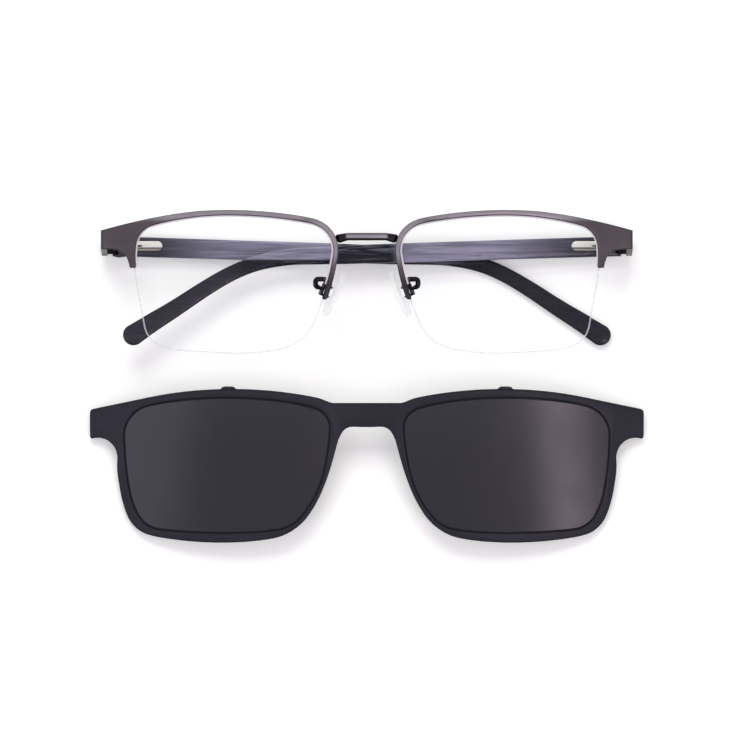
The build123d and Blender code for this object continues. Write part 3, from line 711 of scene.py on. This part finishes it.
def temple_acetate(side):
    """Polished acetate: grey-violet at the hinge, with a painted pale reflection along it, navy past the
    nose, with long lighter veins.
    """
    chosen = finish_of("temple")
    material, tree, shader = new_material("temple_acetate_" + side)
    spot = spot_on(tree)
    parts = parts_of(tree, spot)
    way = 1.0 if side == "right" else -1.0
    along = maths(tree, "MULTIPLY_ADD", parts["X"], way, abs(HINGE[side].x))
    wander = maths(tree, "MULTIPLY_ADD", cloudy(tree, spot, 60.0, 3.0), CHANGE_WANDER, along)

    # The right temple's ear end takes a darker copy of the acetate as painted shade.
    ear = chosen.ear if side == "left" else chosen.ear_right
    dark = blended(tree, graded(tree, along, EAR_START, EAR_FULL), chosen.far, ear)
    if side == "left":
        dark = blended(tree, pale_patch(tree, along, parts["Y"]), dark, chosen.pale)
    # Painted reflection: the acetate pales from near the hinge and turns dark again past the nose.
    pale = blended(tree, graded(tree, wander, chosen.pale_from, chosen.pale_to), chosen.near, chosen.pale)
    darkening = graded(tree, wander, chosen.change - CHANGE_SOFT, chosen.change + CHANGE_SOFT)
    toned = blended(tree, darkening, pale, dark)

    veins = cloudy(tree, stretched(tree, spot, (30.0, 640.0, 640.0)), 1.0, 2.0, Distortion=1.6)
    streaked = scaled(tree, toned, evenly(tree, veins, 0.34, 0.62, 1.15, 0.72))
    vein_share = evenly(tree, veins, 0.53, 0.66, 0.0, 0.6)
    fade = evenly(tree, along, VEINS_FADE, VEINS_END, 1.0, 0.08)
    looks = {
        "Base Color": blended(tree, maths(tree, "MULTIPLY", vein_share, fade), streaked, chosen.vein),
        "Roughness": worn(tree, 0.1, 0.22, 130.0),
        "IOR": 1.33,
        "Coat Weight": 0.06,
        "Coat Roughness": 0.06,
    }
    fill(tree, shader, looks)
    return material


def sun_tint():
    """Dark polarised lens: it lets very little through, shines like glass, and has a painted reflection that
    lightens its upper half.
    """
    chosen = finish_of("clip")
    material, tree, shader = new_material("sun_tint")
    cloud = effect(tree, lacquer_grain, Colour=(*chosen.tint, 1), Grain=300.0, Cloud=30.0, Depth=0.12)
    low, high = (corner[1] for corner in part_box("clip_lens_right"))
    along = parts_of(tree, spot_on(tree))["Y"]
    # Painted reflection: lighter towards the top.
    lighter = graded(tree, along, (low + high) / 2, high, 1.0, 1.0 + chosen.tint_top)
    looks = {
        "Base Color": scaled(tree, cloud["Colour"], lighter),
        "Roughness": worn(tree, 0.16, 0.22, 45.0),
        "IOR": 1.5,
        "Transmission Weight": 0.3,
    }
    fill(tree, shader, looks)
    return material


# Operators, one for each piece or group of like pieces


class GLASSES_OT_brows(bpy.types.Operator):
    """Makes the two brow rims with their end pieces in satin lacquer"""

    bl_idname = "glasses.brows"
    bl_label = "Brow rims"

    def execute(self, context):
        chosen = finish_of("front")
        lacquer = lacquered_metal("brow_lacquer", brow_tones, chosen.rim_roughness, side=0.22)
        usual = chosen.rim_edge / chosen.leg_round

        def share_of(middle, run, normals, bend):
            """Fully for the leg end's upright corners, less for other sharp edges, not for the return's."""
            if bend < math.radians(SHARP) or (middle.z < RETURN_TOP and abs(middle.x) > RETURN_IN):
                return 0.0
            at_leg_end = middle.y < LEG_END + LEG_CORNER and abs(middle.x) < NOSE_FAR
            return 1.0 if at_leg_end and abs(run.z) > 0.9 else usual

        for side in SIDES:
            piece = traced("brow_" + side, "brow_rim_" + side)
            self.level_top(piece)
            weigh(piece, share_of)
            rounded(piece, chosen.leg_round, method="WEIGHT")
            smooth(piece)
            dress(piece, "front", lacquer)
        return {"FINISHED"}

    def level_top(self, piece):
        """Lowers the outer part of the top edge bit by bit, so that it meets the inner part evenly."""
        mode("EDIT")
        for reach in STEP_REACHES:

            def on_top(vertex):
                across, up = abs(vertex.co.x), vertex.co.y
                outer = across > STEP_END and up > STEP_TOP
                corner = across > STEP_END - STEP_CORNER and up > STEP_FOOT
                return across < STEP_END + reach * MM and (outer or corner)

            choose(piece, "VERT", on_top)
            bpy.ops.transform.translate(value=(0, -STEP_FALL / len(STEP_REACHES), 0))
        pick_all()
        bpy.ops.mesh.remove_doubles(threshold=STEP_MERGE)
        mode("OBJECT")


class GLASSES_OT_bridge(bpy.types.Operator):
    """Makes the rounded bridge bar in gloss lacquer"""

    bl_idname = "glasses.bridge"
    bl_label = "Bridge bar"

    def execute(self, context):
        gloss = lacquered_metal(
            "bridge_gloss", bridge_tones, 0.46, metallic=0.95, depth=0.06, coat=0.1, side=0.3
        )
        piece = traced("bridge_bar", "bridge")
        rounded(piece, finish_of("front").bridge_edge, segments=5, angle=50)
        smooth(piece, 40)
        dress(piece, "front", gloss)
        return {"FINISHED"}


class GLASSES_OT_lenses(bpy.types.Operator):
    """Makes the clear lenses and the nylon threads that hold them"""

    bl_idname = "glasses.lenses"
    bl_label = "Clear lenses"

    def execute(self, context):
        chosen = finish_of("front")
        glass = clear_material("clear_lens", chosen.glass, 0.0, 1.06, 1.0, dull=0.002)
        milky = clear_material("liner_nylon", chosen.liner, 0.3, 1.3, 0.6, dull=0.1, clear=0.25)
        nylon = clear_material("nylon_thread", chosen.thread, 0.25, 1.2, 0.6, dull=0.1, clear=0.2)
        strip = (chosen.liner_in, chosen.liner_wide, chosen.liner_thick)
        for side in SIDES:
            piece = traced("lens_" + side, "clear_lens_" + side)
            smooth(piece)
            dress(piece, "front", glass)
            repaint("nylon_thread_" + side, nylon)
            liner = edge_ring("lens_" + side, "lens_liner_" + side, *strip, self.by_brow)
            dress(liner, "front", milky)
        return {"FINISHED"}

    def by_brow(self, spot):
        """Whether a spot on the lens's edge lies along the brow, and not below its two feet."""
        return spot.y > RIM_FEET["nose" if abs(spot.x) < NOSE_FAR else "end"]


class GLASSES_OT_hinges(bpy.types.Operator):
    """Finishes the hinge leaves, the screws, the magnets and the spring hinges' inner parts"""

    bl_idname = "glasses.hinges"
    bl_label = "Hinges and screws"

    def execute(self, context):
        front = finish_of("front")
        leaf = lacquered_metal("hinge_lacquer", front.hinge, 0.3, metallic=0.9)
        screw = bare_metal("screw_steel", front.screw, 0.22, (3000.0, 80.0, 3000.0))
        steel = bare_metal("spring_steel", finish_of("temple").steel, 0.28)
        nickel = bare_metal("magnet_nickel", finish_of("clip").magnet, 0.2, (900.0, 900.0, 900.0))
        for side in SIDES:
            repaint("hinge_leaf_" + side, leaf)
            for node in ("spring_slider_", "spring_stop_", "hinge_spring_", "core_wire_"):
                repaint(node + side, steel)
        repaint("hinge_screws", screw)
        repaint("pad_screws", screw)
        repaint("front_magnets", nickel)
        repaint("clip_magnets", nickel)
        return {"FINISHED"}


class GLASSES_OT_temples(bpy.types.Operator):
    """Makes the acetate temples with rounded edges"""

    bl_idname = "glasses.temples"
    bl_label = "Temples"

    def execute(self, context):
        for side in SIDES:
            piece = traced("temple_" + side, "temple_arm_" + side)
            weigh(piece, partial(self.long_edges, HINGE[side]))
            rounded(piece, finish_of("temple").edge, segments=5, method="WEIGHT")
            smooth(piece, 30)
            dress(piece, "temple_" + side, temple_acetate(side))
        return {"FINISHED"}

    def long_edges(self, hinge, middle, run, normals, bend):
        """Fully for the edges along the temple and round its tip, but not for those of the box's seat."""
        way = abs(middle.x - hinge.x)
        clear = way > SEAT_LONG or abs(middle.y - hinge.y) > SEAT_HALF
        return 1.0 if bend > math.radians(40) and clear and way > HINGE_END else 0.0


class GLASSES_OT_spring_boxes(bpy.types.Operator):
    """Makes the bright metal boxes of the spring hinges"""

    bl_idname = "glasses.spring_boxes"
    bl_label = "Spring boxes"

    def execute(self, context):
        chosen = finish_of("temple")
        for side in SIDES:
            low, high = (Vector(corner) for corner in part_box("spring_box_" + side))
            line = low.y + (high.y - low.y) * chosen.groove_low
            piece = traced("spring_box_" + side, "hinge_box_" + side)
            rounded(piece, chosen.box_edge, segments=4)
            self.groove(piece, sorted(HINGE[side].x * end for end in GROOVE_END_SHARES), line, high.z)
            smooth(piece)
            tones = partial(box_tones, line=line)
            across = (120.0, 2600.0, 2600.0)
            bright = bare_metal("box_nickel_" + side, tones, 0.2, across, depth=0.06, metallic=0.15)
            dress(piece, "temple_" + side, bright)
        return {"FINISHED"}

    def groove(self, piece, ends, line, top):
        """Cuts the line that runs along the box's upper face."""
        width = finish_of("temple").box_groove
        mode("EDIT")
        cuts = [((0, line + way * width / 2, 0), (0, 1, 0)) for way in (-1, 1)]
        cuts += [((end, 0, 0), (1, 0, 0)) for end in ends]
        for place, facing in cuts:
            pick_all()
            bpy.ops.mesh.bisect(plane_co=place, plane_no=facing)

        def on_line(face):
            x, y, z = face.center
            on_top = face.normal.z > FACES_UP and z > top - BOX_FACE
            return on_top and abs(y - line) < width / 2 and ends[0] < x < ends[1]

        choose(piece, "FACE", on_line)
        bpy.ops.mesh.extrude_region_move(TRANSFORM_OT_translate={"value": (0, 0, -width)})
        mode("OBJECT")


class GLASSES_OT_nose_pads(bpy.types.Operator):
    """Models the clear silicone nose pads over their cores"""

    bl_idname = "glasses.nose_pads"
    bl_label = "Nose pads"

    def execute(self, context):
        tone = finish_of("pads").silicone
        silicone = clear_material("pad_silicone", tone, 0.12, 1.05, 0.95, dull=0.1, ripple=0.2, clear=0.66)
        core = clear_material("pad_core_plastic", tone, 0.1, 1.03, 0.9, dull=0.1)
        for side in SIDES:
            piece = self.pillow("silicone_pad_" + side)
            self.seat(piece, side)
            smooth(piece, 60)
            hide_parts("nose_pad_" + side)
            dress(piece, "pad_" + side, silicone)
            repaint("pad_core_" + side, core)
        return {"FINISHED"}

    def pillow(self, name):
        """A drop-shaped pad with a swollen face, lying flat at the origin."""
        chosen = finish_of("pads")
        bpy.ops.object.select_all(action="DESELECT")
        bpy.ops.mesh.primitive_cylinder_add(vertices=PAD_POINTS, radius=0.5, depth=1.0, location=(0, 0, 0))
        piece = added(name)
        piece.scale = (chosen.wide, chosen.long, chosen.thick)
        bpy.ops.object.transform_apply(location=True, rotation=True, scale=True)
        mode("EDIT")
        keep = 1 - (1 - chosen.narrow) / (PAD_STEPS - 1)
        for step in range(1, PAD_STEPS):
            limit = chosen.long * (step - 0.5) / (2 * PAD_STEPS)
            choose(piece, "VERT", lambda v: v.co.y > limit)
            bpy.ops.transform.resize(value=(keep, 1, 1), center_override=(0, 0, 0))
        choose(piece, "FACE", lambda f: abs(f.normal.z) > 0.9)
        bpy.ops.mesh.inset(thickness=chosen.wide * PAD_RIM_SHARE, depth=0)
        mode("OBJECT")
        edge = chosen.thick * PAD_EDGE_SHARE
        carved(piece, "BEVEL", width=edge, segments=3, limit_method="ANGLE", angle_limit=math.radians(50))
        mode("EDIT")
        for rise, keep in PAD_RISES:
            choose(piece, "FACE", lambda f: f.normal.z > 0.9 and len(f.vertices) > 12)
            bpy.ops.mesh.extrude_region_move(TRANSFORM_OT_translate={"value": (0, 0, chosen.crown * rise)})
            bpy.ops.transform.resize(value=(keep, keep, 1), center_override=(0, 0, 0))
        mode("OBJECT")
        carved(piece, "SUBSURF", levels=1, render_levels=1)
        return piece

    def seat(self, piece, side):
        """Turns the pad to face the nose and puts it where its core is."""
        chosen = finish_of("pads")
        pivot = Vector(PAD_PIVOT[side]["pos_m"])
        along = Vector(PAD_PIVOT[side]["axis"]).normalized()
        flat = UP.cross(along).normalized()
        to_nose = flat if flat.x * pivot.x < 0 else -flat
        to_nose = to_nose * math.cos(chosen.splay) - UP * math.sin(chosen.splay)
        along = along if along.y > 0 else -along
        across = along.cross(to_nose)
        middle = pivot + to_nose * chosen.pivot_drop
        for vertex in piece.data.vertices:
            x, y, z = vertex.co
            vertex.co = middle + across * x + along * y + to_nose * z


class GLASSES_OT_pad_arms(bpy.types.Operator):
    """Makes the dark bent wires that carry the pads"""

    bl_idname = "glasses.pad_arms"
    bl_label = "Pad arms"

    def execute(self, context):
        chosen = finish_of("pads")
        dark = lacquered_metal("arm_lacquer", chosen.arm, 0.3, depth=0.08, coat=0.1)
        for side in SIDES:
            piece = traced("pad_arm_" + side, "pad_wire_" + side)
            rounded(piece, chosen.arm_edge, angle=28)
            self.thicken(piece, Vector(PAD_PIVOT[side]["pos_m"]))
            smooth(piece, 40)
            dress(piece, "front", dark)
        return {"FINISHED"}

    def thicken(self, piece, screw):
        """Thickens the bent wire in two steps away from the fork, which stays as it is."""
        chosen = finish_of("pads")
        mode("EDIT")
        for more in (0, ARM_STEP):
            choose(piece, "VERT", lambda v: (v.co - screw).length > chosen.arm_free + more)
            bpy.ops.transform.shrink_fatten(value=chosen.arm_skin / 2)
        mode("OBJECT")


class GLASSES_OT_clip_frame(bpy.types.Operator):
    """Makes the clip's moulded frame"""

    bl_idname = "glasses.clip_frame"
    bl_label = "Clip frame"

    def execute(self, context):
        chosen = finish_of("clip")
        plastic = moulded_plastic("clip_plastic", chosen.plastic, 0.42)
        widest = max(chosen.opening_edge, chosen.hook_round)
        openings = [[Vector(corner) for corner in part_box("clip_lens_" + side)] for side in SIDES]

        def round_opening(middle, normals):
            """Whether an edge is a front one round a lens opening."""
            for low, high in openings:
                inside = low.x < middle.x < high.x and low.y < middle.y < high.y
                inwards = (low + high) / 2 - middle
                wall = any(n.dot(inwards) > 0 and n.z < FACES_UP for n in normals)
                if inside and wall and max(n.z for n in normals) > FACES_UP:
                    return True
            return False

        def share_of(middle, run, normals, bend):
            """For the hooks' corners, the front edges round the lens openings and other sharp edges."""
            if bend < math.radians(SHARP) or (abs(middle.x) < SEAM and abs(run.x) < 0.5):
                return 0.0
            by_hook = middle.y > HOOK_LOW and abs(abs(middle.x) - HOOK_MIDDLE) < HOOK_REACH
            if by_hook and abs(run.z) > 0.8:
                return chosen.hook_round / widest
            return (chosen.opening_edge if round_opening(middle, normals) else chosen.plastic_edge) / widest

        piece = traced("clip_frame", "clip_moulding")
        self.level_middle(piece)
        weigh(piece, share_of)
        rounded(piece, widest, method="WEIGHT")
        smooth(piece)
        dress(piece, "clip", plastic)
        return {"FINISHED"}

    def level_middle(self, piece):
        """Takes out the little peak in the middle of the bridge's lower edge."""
        mode("EDIT")
        for reach, fall in PEAK_CUTS:
            choose(piece, "VERT", lambda v: abs(v.co.x) < reach * MM and v.co.y < PEAK_TOP)
            bpy.ops.transform.translate(value=(0, -fall * MM, -fall * MM / 6))
        mode("OBJECT")


class GLASSES_OT_clip_lenses(bpy.types.Operator):
    """Makes the dark polarised lenses of the clip"""

    bl_idname = "glasses.clip_lenses"
    bl_label = "Clip lenses"

    def execute(self, context):
        chosen = finish_of("clip")
        tint = sun_tint()
        # A dark strip of painted shade round each clip lens, by the frame's lip.
        glue = moulded_plastic("lip_shade_strip", chosen.gasket, 0.5)
        strip = (chosen.gasket_in, chosen.gasket_wide, chosen.gasket_thick)
        for side in SIDES:
            piece = traced("clip_lens_" + side, "sun_lens_" + side)
            smooth(piece)
            dress(piece, "clip", tint)
            line = edge_ring("clip_lens_" + side, "clip_lip_shade_" + side, *strip)
            dress(line, "clip", glue)
        return {"FINISHED"}


class GLASSES_OT_stage(bpy.types.Operator):
    """Lays the pale table, hangs the camera above it and sets the soft light"""

    bl_idname = "glasses.stage"
    bl_label = "Table, camera and light"

    def execute(self, context):
        chosen = finish_of("table")
        self.table(chosen)
        self.surroundings(chosen)
        self.camera(chosen)
        warm, pink, violet = (1.0, 0.99, 0.97), (1.0, 0.78, 0.95), (0.82, 0.78, 1.0)
        key = self.lamp("key_light", *KEY_LIGHT, chosen.key, warm)
        key.visible_glossy = False
        self.lamp("side_strip", *SIDE_STRIP, chosen.strip, pink)
        self.lamp("side_glow", *SIDE_GLOW, chosen.glow, violet)
        context.scene.view_settings.view_transform = "Standard"
        return {"FINISHED"}

    def table(self, chosen):
        """A pale table, a little whiter to the camera than it is lit."""
        bpy.ops.object.select_all(action="DESELECT")
        low = (0, 0, -TABLE_DROP)
        bpy.ops.mesh.primitive_grid_add(x_subdivisions=4, y_subdivisions=4, size=TABLE_WIDE, location=low)
        floor = added("table_top")
        bpy.ops.object.transform_apply(location=True, rotation=True, scale=True)
        material, tree, shader = new_material("table_paper")
        grained = effect(tree, lacquer_grain, Colour=(*chosen.floor, 1), Grain=800.0, Cloud=4.0, Depth=0.004)
        looks = {"Base Color": grained["Colour"], "Roughness": 0.9, "Specular IOR Level": 0.1}
        fill(tree, shader, looks)
        lift = put(tree, "Emission", {"Color": (1, 1, 1, 1), "Strength": chosen.floor_glow}).outputs[0]
        none = put(tree, "Emission", {"Color": (0, 0, 0, 1), "Strength": 0.0}).outputs[0]
        picked = put(tree, "MixShader", {"Fac": self.seen_directly(tree), 1: none, 2: lift}).outputs[0]
        both = put(tree, "AddShader", {0: shader.outputs[0], 1: picked}).outputs[0]
        fill(tree, tree.nodes["Material Output"], {"Surface": both})
        floor.data.materials.append(material)

    def seen_directly(self, tree):
        """One where the camera, a mirror or clear glass looks, and nought for the light itself."""
        rays = put(tree, "LightPath").outputs
        return highest(tree, rays["Is Camera Ray"], rays["Is Glossy Ray"], rays["Is Transmission Ray"])

    def surroundings(self, chosen):
        """White to the camera, a room with a dark wall in a shine, and an even light."""
        world = bpy.data.worlds.new("studio")
        world.use_nodes = True
        bpy.context.scene.world = world
        tree = world.node_tree
        away = parts_of(tree, put(tree, "TexCoord").outputs["Generated"])["Y"]
        room = graded(tree, away, -chosen.near_full, -chosen.near_from, chosen.near_wall, chosen.ceiling)
        rays = put(tree, "LightPath").outputs
        shone = rays["Is Glossy Ray"]
        seen = highest(tree, rays["Is Camera Ray"], rays["Is Transmission Ray"])
        unseen = evenly(tree, shone, 0.0, 1.0, chosen.ambient, room)
        looks = {
            "Color": blended(tree, shone, (1, 1, 1), chosen.room),
            "Strength": evenly(tree, seen, 0.0, 1.0, unseen),
        }
        fill(tree, tree.nodes["Background"], looks)

    def camera(self, chosen):
        """Hangs the camera high above the table, looking straight down."""
        data = bpy.data.cameras.new("camera")
        camera = placed("camera", data)
        camera.location = (chosen.view_x, chosen.view_y, chosen.view_height)
        data.sensor_width = SENSOR
        data.lens = SENSOR * (chosen.view_height - chosen.focus_z) / chosen.view_width
        data.clip_start, data.clip_end = NEAREST, FARTHEST
        bpy.context.scene.camera = camera

    def lamp(self, name, place, aim, size, power, tone):
        """A rectangular soft light that is turned to its aim."""
        data = bpy.data.lights.new(name, "AREA")
        data.shape = "RECTANGLE"
        data.size, data.size_y = size
        data.energy = power
        data.color = tone
        lamp = placed(name, data)
        lamp.location = place
        lamp.rotation_euler = (Vector(aim) - Vector(place)).to_track_quat("-Z", "Y").to_euler()
        return lamp


class GLASSES_PT_pieces(bpy.types.Panel):
    """Lists the pieces of the glasses, their settings and their buttons"""

    bl_label = "Glasses with sun clip"
    bl_idname = "GLASSES_PT_pieces"
    bl_space_type = "VIEW_3D"
    bl_region_type = "UI"
    bl_category = "Glasses"

    def draw(self, context):
        layout = self.layout
        for name, title, group in SETTINGS:
            box = layout.box()
            box.label(text=title)
            for setting in group.__annotations__:
                box.prop(finish_of(name), setting)
        for operator in OPERATORS:
            layout.operator(operator.bl_idname)


SETTINGS = (
    ("front", "Optical front", FrontFinish),
    ("pads", "Nose pads", PadShape),
    ("temple", "Temples", TempleFinish),
    ("clip", "Sun clip", ClipFinish),
    ("table", "Table and light", TableSetting),
)
OPERATORS = (
    GLASSES_OT_stage,
    GLASSES_OT_brows,
    GLASSES_OT_bridge,
    GLASSES_OT_lenses,
    GLASSES_OT_hinges,
    GLASSES_OT_temples,
    GLASSES_OT_spring_boxes,
    GLASSES_OT_nose_pads,
    GLASSES_OT_pad_arms,
    GLASSES_OT_clip_frame,
    GLASSES_OT_clip_lenses,
)
CLASSES = (*(group for _, _, group in SETTINGS), *OPERATORS, GLASSES_PT_pieces)


def register():
    for cls in CLASSES:
        bpy.utils.register_class(cls)
    for name, _, group in SETTINGS:
        setattr(bpy.types.Scene, "glasses_" + name, PointerProperty(type=group))


def unregister():
    for name, _, _ in SETTINGS:
        delattr(bpy.types.Scene, "glasses_" + name)
    for cls in reversed(CLASSES):
        bpy.utils.unregister_class(cls)


def main():
    register()
    for operator in OPERATORS:
        getattr(bpy.ops.glasses, operator.bl_idname.split(".")[1])()


if __name__ == "__main__":
    main()
